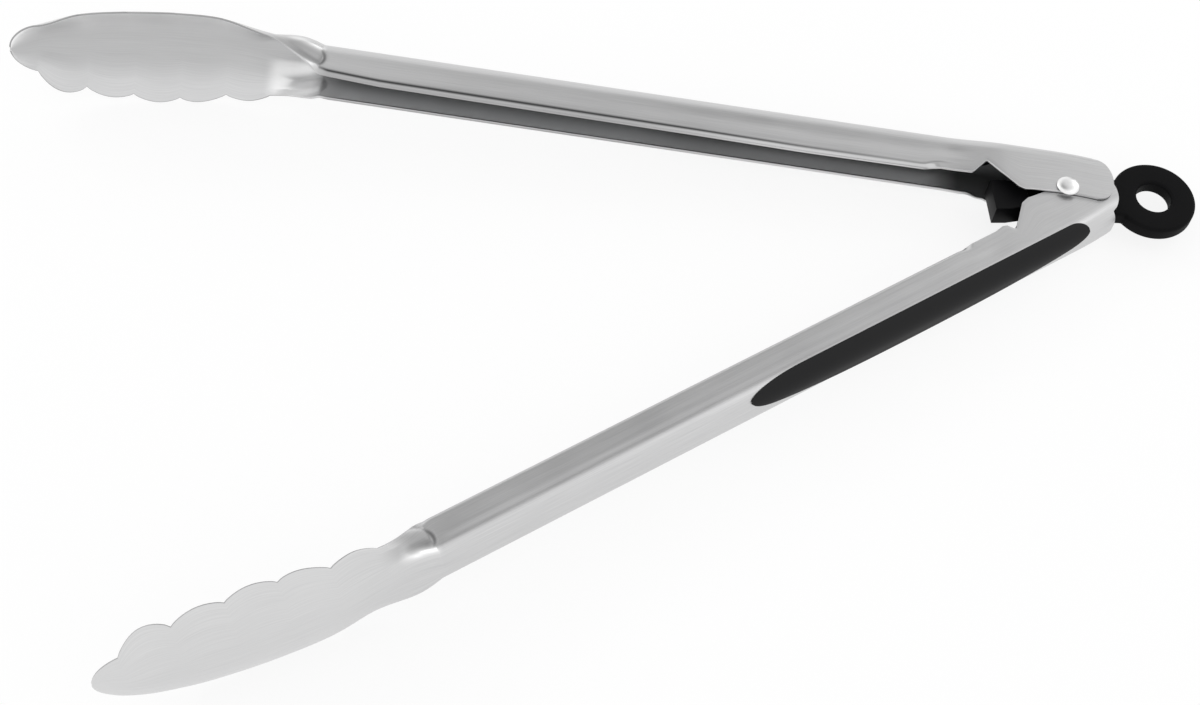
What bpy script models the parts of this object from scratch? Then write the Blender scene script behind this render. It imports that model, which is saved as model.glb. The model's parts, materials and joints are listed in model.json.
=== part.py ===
"""Locking barbecue tongs: two sprung sheet-steel arms, shown open and lying on one side.

Hinge frame: Z is the pivot axis, the arms open alike to both sides of -X, the outer arm's
tip lies towards +Y, the inner arm's towards -Y, and the pull ring lies towards +X.
Arm frame: x runs from the pivot to the tip, y runs outwards to the arm's back, and z is
parallel to the pivot axis. A root empty tips the hinge frame, so that the tongs rest on
the scalloped edges of both heads and on the rivet.
"""
import math

import bmesh
import bpy
import numpy as np
from mathutils import Matrix, Vector

# Arms, in metres, in the arm frame
ARM_REACH = 0.400
OPEN_ANGLE = math.radians(39.1)
CHANNEL_WIDTH = 0.0162
CHANNEL_BACK = 0.0198
CHANNEL_EDGE = 0.0028
BACK_RADIUS = 0.0065
SHEET = 0.0010
RUN_GAP = 0.0003

# Turned-in lip along the free edges of the channel
LIP_RADIUS = 0.0013
LIP_FLAT = 0.0017
LIP_START = 0.0520
PLAIN_LIP_START = 0.0400
LIP_RUNOUT = 0.0080

# Head, from the end of the side walls to the tip
HEAD_LENGTH = 0.1155
HEAD_WIDTH = 0.0475
HEAD_FLARE = math.radians(44.0)
NECK_BLEND = 0.0300
NECK_PLAIN = 0.0195
NOSE_LENGTH = 0.0090
SCALLOP_COUNT = 5
SCALLOP_RISE = 0.0024
TIP_SCALLOP_RISE = 0.0048
HEAD_PLACE_SHARES = (0.0, 0.065, 0.134, 0.203, 0.325, 0.468, 0.602, 0.760, 0.922, 1.0)
HEAD_WIDTH_SHARES = (0.0, 0.27, 0.49, 0.65, 0.86, 1.0, 0.962, 0.79, 0.28, 0.13)
HEAD_EDGE_SHARES = (0.0, 0.19, 0.33, 0.39, 0.427, 0.263, 0.146, 0.012, -0.129, -0.246)
HEAD_BACK_SHARES = (1.0, 0.985, 0.935, 0.906, 0.918, 0.842, 0.719, 0.503, 0.170, -0.216)

# Hinge end of the arms: rounded ears, and a V notch in front of one ear of each arm
EAR_RADIUS = 0.0130
EAR_CENTRE_X = -0.0048
EAR_CENTRE_Y = 0.0050
EAR_DROP = 0.0038
EAR_CORNER_X = 0.0170
EAR_CORNER_ROUND = 0.0010
EAR_WAIST_X = 0.0020
EAR_WAIST_DROP = 0.0028
EAR_HEEL_DROP = 0.0035
EAR_HEEL_RADIUS = 0.0055
NOTCH_APEX_X = 0.0305
OUTER_NOTCH_APEX_Y = 0.0075
INNER_NOTCH_APEX_Y = 0.0052
NOTCH_FRONT_X = 0.0365
EAR_SPARE = 0.0030
BACK_END_X = -0.0100
BACK_FALL_START = 0.0060
BACK_FALL = 0.0008
JOGGLE_START = 0.0420
JOGGLE_END = 0.0310

# Rivet and spacer bush on the pivot axis
RIVET_RADIUS = 0.0019
RIVET_HEAD_RADIUS = 0.0050
RIVET_HEAD_RISE = 0.0015
BUSH_WALL = 0.0006

# Torsion spring round the bush
WIRE_RADIUS = 0.0006
COIL_PITCH = 0.00168
COIL_TURNS = 2
COIL_SLACK = 0.0004
SPRING_LEG_X = 0.0300

# Lock slide, in the slide frame: x runs along the slide towards the ring
SLIDE_LEAN = math.radians(9.0)
SLIDE_TRAVEL = 0.0060
SLIDE_THICKNESS = 0.0026
BLOCK_FRONT = 0.0277
BLOCK_LENGTH = 0.0055
BLOCK_HALF_HEIGHT = 0.0069
BLOCK_TAIL = 0.0140
BLOCK_TAIL_HALF = 0.0056
BLOCK_HALF_DEPTH = 0.0046
STEM_WEB_HALF = 0.0060
STEM_WEB_END = 0.0150
STEM_HALF_WIDTH = 0.0052
STEM_TAIL_HALF = 0.0038
STEM_SHOULDER = 0.0070
STEM_NECK_RUN = 0.0030
STEM_IN_RING = 0.0070

# Pull ring with the hanging hole
RING_CENTRE = 0.0360
RING_RADIUS = 0.0162
RING_HOLE = 0.0067
RING_THICKNESS = 0.0070
RING_ROUND = 0.0014
ROOT_HALF_WIDTH = 0.0085
ROOT_REACH = 0.0195

# Grips, in the arm frame: they lie off the middle of the back, further down its +z side
PAD_START = 0.0035
PAD_END = 0.1600
PAD_START_TAPER = 0.0070
PAD_END_TAPER = 0.0250
PAD_TIP_SIDE = 0.0061
PAD_LONG_REACH = 0.0107
PAD_SHORT_REACH = 0.0034
PAD_EDGE = 0.0004
PAD_CROWN = 0.0002
PAD_TIP_HALF = 0.0004
WINDOW_START = 0.0470
WINDOW_END = 0.1150
WINDOW_HALF = 0.0020
BOSS_RISE = 0.0005
CORE_START = 0.0260
CORE_END = 0.1540
CORE_HALF = 0.0050
CORE_THICKNESS = 0.0014

# How far cutters run past what they cut
OVERRUN = 0.0300

HALF_OPEN = OPEN_ANGLE / 2.0
HALF_WIDTH = CHANNEL_WIDTH / 2.0
WALL_END = ARM_REACH - HEAD_LENGTH
SCALLOP_PITCH = (HEAD_LENGTH - NOSE_LENGTH - NECK_PLAIN) / SCALLOP_COUNT
CHANNEL_DEPTH = CHANNEL_BACK - CHANNEL_EDGE
EAR_STEP = SHEET + RUN_GAP
BUSH_INNER = RIVET_RADIUS + RUN_GAP
BUSH_OUTER = BUSH_INNER + BUSH_WALL
COIL_RADIUS = BUSH_OUTER + COIL_SLACK + WIRE_RADIUS
SLIDE_HALF = SLIDE_THICKNESS / 2.0

STEEL = ("brushed_stainless", (0.62, 0.62, 0.63), 0.34, 1.0)
BRIGHT_STEEL = ("polished_stainless", (0.70, 0.70, 0.71), 0.22, 1.0)
SPRING_STEEL = ("spring_wire", (0.45, 0.45, 0.46), 0.35, 1.0)
SOFT_GRIP = ("soft_black_grip", (0.030, 0.030, 0.031), 0.62, 0.0)
HARD_BLACK = ("moulded_black_nylon", (0.018, 0.018, 0.019), 0.50, 0.0)
RING_RUBBER = ("ring_rubber", (0.014, 0.014, 0.015), 0.68, 0.0)


def clear_scene():
    for item in list(bpy.data.objects):
        bpy.data.objects.remove(item, do_unlink=True)


def material(finish):
    name, colour, roughness, metallic = finish
    made = bpy.data.materials.get(name) or bpy.data.materials.new(name)
    made.use_nodes = True
    shader = made.node_tree.nodes["Principled BSDF"]
    shader.inputs["Base Color"].default_value = (*colour, 1.0)
    shader.inputs["Roughness"].default_value = roughness
    shader.inputs["Metallic"].default_value = metallic
    return made


def add_object(name, data, parent, finish=None):
    item = bpy.data.objects.new(name, data)
    bpy.context.scene.collection.objects.link(item)
    item.parent = parent
    if finish:
        data.materials.append(material(finish))
    return item


def add_empty(name, parent, matrix):
    item = add_object(name, None, parent)
    item.matrix_local = matrix
    return item


def mesh_from_faces(name, points, faces):
    """A mesh whose faces are turned outwards and shaded smooth across small angles."""
    mesh = bpy.data.meshes.new(name)
    mesh.from_pydata([tuple(p) for p in points], [], faces)
    shape = bmesh.new()
    shape.from_mesh(mesh)
    bmesh.ops.recalc_face_normals(shape, faces=shape.faces)
    shape.to_mesh(mesh)
    shape.free()
    mesh.shade_smooth()
    mesh.set_sharp_from_angle(angle=math.radians(35.0))
    return mesh


def grid_faces(rows, columns, start=0, wrap_rows=False, wrap_columns=False):
    """Quads over a grid of points that are stored row by row."""
    faces = []
    for i in range(rows if wrap_rows else rows - 1):
        for j in range(columns if wrap_columns else columns - 1):
            a = start + i * columns + j
            b = start + i * columns + (j + 1) % columns
            c = start + ((i + 1) % rows) * columns + (j + 1) % columns
            d = start + ((i + 1) % rows) * columns + j
            faces.append((a, b, c, d))
    return faces


def prism(name, outline, low, high, parent, finish=None):
    """A straight prism on an outline in x and y, from low to high along z."""
    count = len(outline)
    points = [(x, y, low) for x, y in outline] + [(x, y, high) for x, y in outline]
    faces = [tuple(range(count)), tuple(range(count, 2 * count))]
    for i in range(count):
        j = (i + 1) % count
        faces.append((i, j, count + j, count + i))
    return add_object(name, mesh_from_faces(name, points, faces), parent, finish)


def turned(name, profile, parent, finish, segments=28):
    """A closed profile of radius and height points, turned about the pivot axis."""
    rows = []
    for step in range(segments):
        angle = 2.0 * math.pi * step / segments
        rows.extend((r * math.cos(angle), r * math.sin(angle), z) for r, z in profile)
    faces = grid_faces(segments, len(profile), wrap_rows=True, wrap_columns=True)
    mesh = mesh_from_faces(name, rows, faces)
    shape = bmesh.new()
    shape.from_mesh(mesh)
    bmesh.ops.remove_doubles(shape, verts=shape.verts, dist=WIRE_RADIUS / 1000.0)
    bmesh.ops.recalc_face_normals(shape, faces=shape.faces)
    shape.to_mesh(mesh)
    shape.free()
    mesh.shade_smooth()
    mesh.set_sharp_from_angle(angle=math.radians(35.0))
    return add_object(name, mesh, parent, finish)


def arc(centre_x, centre_y, radius, first, last, steps):
    angles = np.linspace(first, last, steps + 1)
    return [(centre_x + radius * math.cos(a), centre_y + radius * math.sin(a)) for a in angles]


def stadium(first_x, last_x, half, steps=10):
    """An outline with round ends, whose straight runs lie at plus and minus half."""
    right = arc(last_x - half, 0.0, half, -math.pi / 2.0, math.pi / 2.0, steps)
    left = arc(first_x + half, 0.0, half, math.pi / 2.0, 3.0 * math.pi / 2.0, steps)
    return right + left


def helper(item):
    """Hides a solid that only serves a Boolean."""
    item.hide_render = True
    item.hide_viewport = False
    item.display_type = "WIRE"
    return item


def boolean(item, tool, operation):
    modifier = item.modifiers.new(tool.name, "BOOLEAN")
    modifier.operation = operation
    modifier.solver = "EXACT"
    modifier.object = helper(tool)


def smooth(value):
    value = np.clip(value, 0.0, 1.0)
    return value * value * (3.0 - 2.0 * value)


def curve_through(place, places, values):
    """A smooth curve through a few points, as cubic pieces with averaged end slopes."""
    places = np.asarray(places)
    values = np.asarray(values)
    slopes = np.gradient(values, places)
    i = int(np.clip(np.searchsorted(places, place) - 1, 0, len(places) - 2))
    span = places[i + 1] - places[i]
    t = min(max((place - places[i]) / span, 0.0), 1.0)
    rise = 3.0 * t ** 2 - 2.0 * t ** 3
    lead = (t ** 3 - 2.0 * t ** 2 + t) * slopes[i] + (t ** 3 - t ** 2) * slopes[i + 1]
    return values[i] + (values[i + 1] - values[i]) * rise + span * lead


def head_share(x):
    return (x - WALL_END) / HEAD_LENGTH


def half_width_at(x, step):
    """Half the arm's outer width: the channel, its stepped-out ears, or the head."""
    if x <= WALL_END:
        return HALF_WIDTH + step * float(smooth((JOGGLE_START - x) / (JOGGLE_START - JOGGLE_END)))
    flare = HEAD_WIDTH / 2.0 - HALF_WIDTH
    width = HALF_WIDTH + flare * curve_through(head_share(x), HEAD_PLACE_SHARES, HEAD_WIDTH_SHARES)
    into_nose = (x - (ARM_REACH - NOSE_LENGTH)) / NOSE_LENGTH
    if into_nose > 0.0:
        width *= math.sqrt(max(1.0 - into_nose ** 2, 0.0))
    return width


def edge_at(x, lip_start):
    """Free edge of a side wall: it runs past the ears' outline, which trims it later."""
    if x > WALL_END:
        share = curve_through(head_share(x), HEAD_PLACE_SHARES, HEAD_EDGE_SHARES)
        return CHANNEL_EDGE + CHANNEL_DEPTH * share
    drop = min(max(lip_start - x, 0.0) / (lip_start - JOGGLE_END), 1.0)
    return CHANNEL_EDGE - (CHANNEL_EDGE + EAR_DROP + EAR_SPARE) * drop


def back_at(x):
    if x > WALL_END:
        share = curve_through(head_share(x), HEAD_PLACE_SHARES, HEAD_BACK_SHARES)
        return CHANNEL_EDGE + CHANNEL_DEPTH * share
    fall = min(max(BACK_FALL_START - x, 0.0) / (BACK_FALL_START - BACK_END_X), 1.0)
    return CHANNEL_BACK - BACK_FALL * fall ** 2


def lip_turn_at(x, lip_start):
    """How far the lip is turned in: a right angle along the channel, nothing beyond it."""
    turned_in = smooth((x - lip_start) / LIP_RUNOUT)
    turned_out = smooth((x - WALL_END + LIP_RUNOUT / 2.0) / LIP_RUNOUT)
    return max(math.pi / 2.0 * float(turned_in * (1.0 - turned_out)), math.radians(2.0))


def channel_half(half, back, edge, turn):
    """Half of the channel's outer section, from the lip's end to the middle of the back."""
    bend = LIP_RADIUS * math.pi / 2.0
    radius = bend / turn
    fold = edge + radius * math.sin(turn) + LIP_FLAT * math.cos(turn)
    points = []
    for angle in (turn, turn / 2.0, 0.0):
        points.append((fold - radius * math.sin(angle), half - radius * (1.0 - math.cos(angle))))
    lip_end = (points[0][0] - LIP_FLAT * math.cos(turn), points[0][1] - LIP_FLAT * math.sin(turn))
    points.insert(0, lip_end)
    points.append(((fold + back - BACK_RADIUS) / 2.0, half))
    for angle in np.linspace(0.0, math.pi / 2.0, 6):
        y = back - BACK_RADIUS + BACK_RADIUS * math.sin(angle)
        points.append((y, half - BACK_RADIUS + BACK_RADIUS * math.cos(angle)))
    points.append((back, 0.0))
    return np.array(points)


def spread_along(section):
    """Each point's share of the way along a section."""
    steps = np.linalg.norm(np.diff(section, axis=0), axis=1)
    return np.concatenate([[0.0], np.cumsum(steps)]) / steps.sum()


def scallop_at(x):
    first_valley = ARM_REACH - NOSE_LENGTH - SCALLOP_COUNT * SCALLOP_PITCH
    place = (x - first_valley) / SCALLOP_PITCH
    if place <= 0.0 or place >= SCALLOP_COUNT:
        return 0.0
    rise = TIP_SCALLOP_RISE if place > SCALLOP_COUNT - 1.0 else SCALLOP_RISE
    return rise * abs(math.sin(math.pi * place)) ** 0.75


def cup_half(half, back, edge, rise, shares):
    """Half of the head's section: an arc that leaves its edges at the flare angle."""
    radius = half / math.sin(HEAD_FLARE)
    reach = HEAD_FLARE + rise / radius
    deepen = (back - edge) / (radius * (1.0 - math.cos(HEAD_FLARE)))
    angles = reach * (1.0 - shares)
    return np.stack([back - deepen * radius * (1.0 - np.cos(angles)), radius * np.sin(angles)], axis=1)


def arm_stations():
    """Places along the arm where a section is drawn, closer where the form changes."""
    scallops = ARM_REACH - NOSE_LENGTH - SCALLOP_COUNT * SCALLOP_PITCH
    ear_end = EAR_CENTRE_X - EAR_RADIUS
    nose = [ARM_REACH - NOSE_LENGTH * (1.0 - math.sin(math.radians(a))) for a in (22, 42, 60, 76)]
    return np.concatenate([
        np.linspace(ear_end - SHEET, BACK_FALL_START, 7),
        np.linspace(JOGGLE_END, JOGGLE_START, 6),
        np.linspace(JOGGLE_START, PLAIN_LIP_START + LIP_RUNOUT, 4)[1:],
        [LIP_START - SHEET, LIP_START],
        np.linspace(LIP_START + LIP_RUNOUT / 3.0, LIP_START + LIP_RUNOUT, 3),
        [WALL_END - LIP_RUNOUT / 2.0],
        np.linspace(WALL_END - LIP_RUNOUT / 4.0, scallops, 9)[:-1],
        np.linspace(scallops, ARM_REACH - NOSE_LENGTH, 5 * SCALLOP_COUNT + 1),
        nose])


def half_section(x, step, shares, lip_start):
    """Half of an arm's outer section at x, from its free edge to the middle of the back."""
    half, back, edge = half_width_at(x, step), back_at(x), edge_at(x, lip_start)
    blend = float(smooth((x - WALL_END) / NECK_BLEND))
    section = channel_half(half, back, edge, lip_turn_at(x, lip_start)) if blend < 1.0 else 0.0
    if blend > 0.0:
        cup = cup_half(half, back, edge, scallop_at(x), shares)
        section = (1.0 - blend) * section + blend * cup
    return section


def section_at(x, step, shares, notch_side):
    """The whole section, from its edge at +z to its edge at -z: the notch shortens one lip."""
    starts = (LIP_START, PLAIN_LIP_START) if notch_side > 0.0 else (PLAIN_LIP_START, LIP_START)
    upper = half_section(x, step, shares, starts[0])
    lower = half_section(x, step, shares, starts[1])
    return np.concatenate([upper, lower[-2::-1] * (1.0, -1.0)])


def ear_outline():
    """What is kept of the side walls: rounded ears with a slightly waisted lower edge."""
    apart = EAR_RADIUS - EAR_HEEL_RADIUS
    below = EAR_CENTRE_Y + EAR_HEEL_DROP - EAR_HEEL_RADIUS
    heel_x = EAR_CENTRE_X - math.sqrt(apart ** 2 - below ** 2)
    top = math.acos((BACK_END_X - EAR_CENTRE_X) / EAR_RADIUS)
    meets = math.pi + math.asin(below / apart)
    end = arc(EAR_CENTRE_X, EAR_CENTRE_Y, EAR_RADIUS, top, meets, 10)
    heel = arc(heel_x, EAR_HEEL_RADIUS - EAR_HEEL_DROP, EAR_HEEL_RADIUS, meets, 1.5 * math.pi, 5)
    waist = []
    for last_x, drop, share in (
            (heel_x, EAR_HEEL_DROP, 0.5), (EAR_WAIST_X, EAR_WAIST_DROP, 0.0), (EAR_CORNER_X, EAR_DROP, 0.5)):
        x = EAR_WAIST_X + (last_x - EAR_WAIST_X) * share
        waist.append((x, -EAR_WAIST_DROP - (drop - EAR_WAIST_DROP) * share ** 2))
    far = ARM_REACH + OVERRUN
    return [
        (far, -OVERRUN), (far, CHANNEL_BACK + OVERRUN), (BACK_END_X, CHANNEL_BACK + OVERRUN),
        *end, *heel[1:], *waist,
        (EAR_CORNER_X - EAR_CORNER_ROUND, -EAR_DROP),
        (EAR_CORNER_X, -EAR_DROP + EAR_CORNER_ROUND),
        (PLAIN_LIP_START, CHANNEL_EDGE - RUN_GAP),
        (LIP_START, CHANNEL_EDGE - RUN_GAP),
        (LIP_START, -OVERRUN)]


def notch_outline(apex_y):
    """The V notch between the ear and the wall's edge, open towards the other arm."""
    ear_x = EAR_CORNER_X + EAR_CORNER_ROUND
    return [
        (ear_x, -OVERRUN), (NOTCH_FRONT_X, -OVERRUN), (NOTCH_FRONT_X, CHANNEL_EDGE),
        (NOTCH_APEX_X, apex_y), (ear_x, EAR_CORNER_ROUND - EAR_DROP)]


def make_arm(name, frame, step, notch_side, notch_apex_y):
    reference = channel_half(HALF_WIDTH, CHANNEL_BACK, CHANNEL_EDGE, math.pi / 2.0)
    shares = spread_along(reference)
    points = []
    stations = arm_stations()
    for x in stations:
        points.extend((x, y, z) for y, z in section_at(x, step, shares, notch_side))
    columns = len(points) // len(stations)
    mesh = mesh_from_faces(name, points, grid_faces(len(stations), columns))
    arm = add_object(name, mesh, frame, STEEL)
    orient_outwards(mesh)
    skin = arm.modifiers.new("sheet", "SOLIDIFY")
    skin.thickness = SHEET
    skin.offset = -1.0
    skin.use_even_offset = True
    skin.use_quality_normals = True
    side = HALF_WIDTH + HEAD_WIDTH
    boolean(arm, prism(name + "_outline", ear_outline(), -side, side, frame), "INTERSECT")
    low, high = sorted((0.0, notch_side * side))
    boolean(arm, prism(name + "_notch", notch_outline(notch_apex_y), low, high, frame), "DIFFERENCE")
    between = half_width_at(BACK_END_X, step) - SHEET
    behind = BACK_END_X - OVERRUN
    slot = [(behind, 0.0), (BACK_END_X, 0.0), (BACK_END_X, OVERRUN), (behind, OVERRUN)]
    boolean(arm, prism(name + "_back_end", slot, -between, between, frame), "DIFFERENCE")
    hole = arc(0.0, 0.0, RIVET_RADIUS + RUN_GAP, 0.0, 2.0 * math.pi, 24)[:-1]
    boolean(arm, prism(name + "_pivot_hole", hole, -side, side, frame), "DIFFERENCE")
    window = prism(name + "_window", stadium(WINDOW_START, WINDOW_END, WINDOW_HALF), 0.0, OVERRUN, frame)
    window.matrix_local = standing(CHANNEL_BACK - BACK_RADIUS)
    boolean(arm, window, "DIFFERENCE")
    return arm


def orient_outwards(mesh):
    """Turns an open skin's faces so that the back of the arm faces away from the pivot."""
    backmost = max(mesh.polygons, key=lambda face: face.center.y)
    if backmost.normal.y < 0.0:
        mesh.flip_normals()


def standing(height):
    """Stands a prism's z along the arm's y, with its base at the given y."""
    return Matrix.Translation((0.0, height, 0.0)) @ Matrix.Rotation(-math.pi / 2.0, 4, "X")


def back_point(x, along, rise, step):
    """A point over the rounded back: along is measured across it from the middle."""
    half = half_width_at(x, step)
    back = back_at(x)
    flat = half - BACK_RADIUS
    side = math.copysign(1.0, along)
    if abs(along) <= flat:
        return (x, back + rise, along)
    angle = (abs(along) - flat) / BACK_RADIUS
    radius = BACK_RADIUS + rise
    return (x, back - BACK_RADIUS + radius * math.cos(angle), side * (flat + radius * math.sin(angle)))


def pad_edges(x):
    """Where the pad's side edges lie across the back: one is a long bow, one has tight ends."""
    middle = (PAD_START + PAD_END) / 2.0
    into_bow = (x - middle) / (PAD_END - middle)
    into_start = max(PAD_START + PAD_START_TAPER - x, 0.0) / PAD_START_TAPER
    into_end = max(x - PAD_END + PAD_END_TAPER, 0.0) / PAD_END_TAPER
    bow = math.sqrt(max(1.0 - into_bow ** 2, 0.0))
    tight = math.sqrt(max(1.0 - max(into_start, into_end) ** 2, 0.0))
    low = PAD_TIP_SIDE - PAD_TIP_HALF - (PAD_TIP_SIDE + PAD_SHORT_REACH) * bow
    high = PAD_TIP_SIDE + PAD_TIP_HALF + (PAD_LONG_REACH - PAD_TIP_SIDE) * tight
    return low, high, min(bow, tight)


def make_pad(name, frame, step):
    turns = np.radians(np.linspace(0.0, 180.0, 21))
    stations = PAD_START + (PAD_END - PAD_START) * (1.0 - np.cos(turns)) / 2.0
    across = np.linspace(-1.0, 1.0, 13)
    outer, inner = [], []
    for x in stations:
        low, high, fullness = pad_edges(x)
        for place in across:
            along = (low + high) / 2.0 + (high - low) / 2.0 * place
            rise = RUN_GAP + PAD_EDGE + PAD_CROWN * (1.0 - place ** 2) * fullness
            outer.append(back_point(x, along, rise, step))
            inner.append(back_point(x, along, RUN_GAP, step))
    rows, columns = len(stations), len(across)
    faces = grid_faces(rows, columns) + grid_faces(rows, columns, start=rows * columns)
    rim = [i * columns for i in range(rows)] + [(rows - 1) * columns + j for j in range(1, columns)]
    rim += [i * columns + columns - 1 for i in range(rows - 2, -1, -1)]
    rim += list(range(columns - 2, 0, -1))
    shift = rows * columns
    for i, a in enumerate(rim):
        b = rim[(i + 1) % len(rim)]
        faces.append((a, b, b + shift, a + shift))
    pad = add_object(name, mesh_from_faces(name, outer + inner, faces), frame, SOFT_GRIP)
    outline = stadium(WINDOW_START + RUN_GAP, WINDOW_END - RUN_GAP, WINDOW_HALF - RUN_GAP)
    depth = CHANNEL_BACK + BOSS_RISE - core_top() - RUN_GAP
    boss = prism(name + "_boss", outline, 0.0, depth, frame)
    boss.matrix_local = standing(core_top() + RUN_GAP)
    boolean(pad, boss, "UNION")
    return pad


def core_top():
    """The highest flat that clears the inside of the rounded back by the running gap."""
    inside = BACK_RADIUS - SHEET - RUN_GAP
    off_centre = CORE_HALF - (HALF_WIDTH - BACK_RADIUS)
    return CHANNEL_BACK - BACK_RADIUS + math.sqrt(inside ** 2 - off_centre ** 2)


def make_core(name, frame):
    outline = stadium(CORE_START, CORE_END, CORE_HALF)
    core = prism(name, outline, 0.0, CORE_THICKNESS, frame, HARD_BLACK)
    core.matrix_local = standing(core_top() - CORE_THICKNESS)
    return core


def make_rivet(frame):
    seat = HALF_WIDTH + EAR_STEP + RUN_GAP
    dome = []
    for angle in np.linspace(0.0, math.pi / 2.0, 6):
        dome.append((RIVET_HEAD_RADIUS * math.cos(angle), seat + RIVET_HEAD_RISE * math.sin(angle)))
    upper = [(RIVET_RADIUS, seat)] + dome
    lower = [(r, -z) for r, z in reversed(upper)]
    return turned("pivot_rivet", lower + upper, frame, BRIGHT_STEEL)


def make_bush(frame):
    reach = HALF_WIDTH - SHEET - RUN_GAP
    profile = [(BUSH_INNER, -reach), (BUSH_OUTER, -reach), (BUSH_OUTER, reach), (BUSH_INNER, reach)]
    return turned("spacer_bush", profile, frame, HARD_BLACK, 24)


def leg_seat():
    """Height in the arm frame at which a spring leg rests on the grip's core."""
    return core_top() - CORE_THICKNESS - RUN_GAP - WIRE_RADIUS


def coil_tangent(target):
    """Turn angle of the coil's point from which a straight leg runs to the target."""
    distance = math.hypot(*target)
    return math.atan2(target[1], target[0]) - math.acos(COIL_RADIUS / distance)


def spring_route(outer_matrix, inner_matrix):
    """The wire's centre line: a leg along each arm and the coil between them."""
    low = SLIDE_HALF + RUN_GAP + WIRE_RADIUS
    inner_tip = inner_matrix @ Vector((SPRING_LEG_X, leg_seat(), low))
    first = -coil_tangent((inner_tip.x, -inner_tip.y))
    guess = low + COIL_PITCH * (COIL_TURNS + 0.3)
    outer_tip = outer_matrix @ Vector((SPRING_LEG_X, leg_seat(), -guess))
    last = coil_tangent((outer_tip.x, outer_tip.y))
    sweep = (last - first) % (2.0 * math.pi) + 2.0 * math.pi * COIL_TURNS
    count = int(round(9 * sweep / (2.0 * math.pi)))
    high = low + COIL_PITCH * sweep / (2.0 * math.pi)
    route = [Vector((inner_tip.x, inner_tip.y, low))]
    for share in np.linspace(0.0, 1.0, count + 1):
        angle = first + sweep * share
        place = (COIL_RADIUS * math.cos(angle), COIL_RADIUS * math.sin(angle), low + (high - low) * share)
        route.append(Vector(place))
    route.append(Vector((outer_tip.x, outer_tip.y, high)))
    return route


def least_self_gap(route):
    """Least gap between turns: measured between points that lie over half a turn apart."""
    coil = np.array(route[1:-1])
    least = math.inf
    for i in range(len(coil)):
        for j in range(i + 6, len(coil)):
            least = min(least, float(np.linalg.norm(coil[i] - coil[j])))
    return least - 2.0 * WIRE_RADIUS


def make_spring(frame, route):
    line = bpy.data.curves.new("torsion_spring", "CURVE")
    line.dimensions = "3D"
    line.bevel_depth = WIRE_RADIUS
    line.bevel_resolution = 1
    line.use_fill_caps = True
    spline = line.splines.new("POLY")
    spline.points.add(len(route) - 1)
    for point, place in zip(spline.points, route):
        point.co = (*place, 1.0)
    return add_object("torsion_spring", line, frame, SPRING_STEEL)


def both_sides(half_outline):
    return half_outline + [(x, -y) for x, y in reversed(half_outline)]


def make_slide(frame):
    tail = RING_CENTRE - ROOT_REACH + STEM_IN_RING
    plate = both_sides([
        (-BLOCK_FRONT + BLOCK_LENGTH, STEM_WEB_HALF), (-STEM_WEB_END, STEM_HALF_WIDTH),
        (STEM_SHOULDER, STEM_HALF_WIDTH), (STEM_SHOULDER + STEM_NECK_RUN, STEM_TAIL_HALF),
        (tail, STEM_TAIL_HALF)])
    slide = prism("lock_slide", plate, -SLIDE_HALF, SLIDE_HALF, frame, HARD_BLACK)
    block = both_sides([
        (-BLOCK_FRONT, BLOCK_HALF_HEIGHT), (-BLOCK_FRONT + BLOCK_LENGTH, BLOCK_HALF_HEIGHT),
        (-BLOCK_TAIL, BLOCK_TAIL_HALF)])
    boolean(slide, prism("slide_block", block, -BLOCK_HALF_DEPTH, BLOCK_HALF_DEPTH, frame), "UNION")
    slot_half = BUSH_OUTER + RUN_GAP
    slot = stadium(-SLIDE_TRAVEL - slot_half, slot_half, slot_half)
    boolean(slide, prism("slide_slot", slot, -OVERRUN, OVERRUN, frame), "DIFFERENCE")
    return slide


def ring_reach(angle):
    """Distance from the hole's centre to the ring's outline: a disc with a square root."""
    forward = -math.cos(angle)
    if forward <= 0.0:
        return RING_RADIUS
    to_end = ROOT_REACH / max(forward, 1e-6)
    to_side = ROOT_HALF_WIDTH / max(abs(math.sin(angle)), 1e-6)
    root = (to_end ** -10 + to_side ** -10) ** -0.1
    return max(RING_RADIUS, root)


def make_ring(frame):
    """Sweeps a rounded bar section round the hole, from the hole's wall to the outline."""
    steps = 40
    half = RING_THICKNESS / 2.0
    points = []
    for step in range(steps):
        angle = 2.0 * math.pi * step / steps
        outer = ring_reach(angle)
        corners = (
            (outer - RING_ROUND, half - RING_ROUND, 0.0), (RING_HOLE + RING_ROUND, half - RING_ROUND, 90.0),
            (RING_HOLE + RING_ROUND, RING_ROUND - half, 180.0), (outer - RING_ROUND, RING_ROUND - half, 270.0))
        for radius, height, start in corners:
            for turn in np.radians((start, start + 45.0, start + 90.0)):
                r = radius + RING_ROUND * math.cos(turn)
                z = height + RING_ROUND * math.sin(turn)
                points.append((RING_CENTRE + r * math.cos(angle), r * math.sin(angle), z))
    faces = grid_faces(steps, 12, wrap_rows=True, wrap_columns=True)
    ring = add_object("pull_ring", mesh_from_faces("pull_ring", points, faces), frame, RING_RUBBER)
    root = RING_CENTRE - ROOT_REACH
    pocket_end = root + STEM_IN_RING + RUN_GAP
    side = STEM_TAIL_HALF + RUN_GAP
    pocket = [(root - RING_ROUND, -side), (pocket_end, -side), (pocket_end, side), (root - RING_ROUND, side)]
    deep = SLIDE_HALF + RUN_GAP
    boolean(ring, prism("ring_pocket", pocket, -deep, deep, frame), "DIFFERENCE")
    return ring


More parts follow.
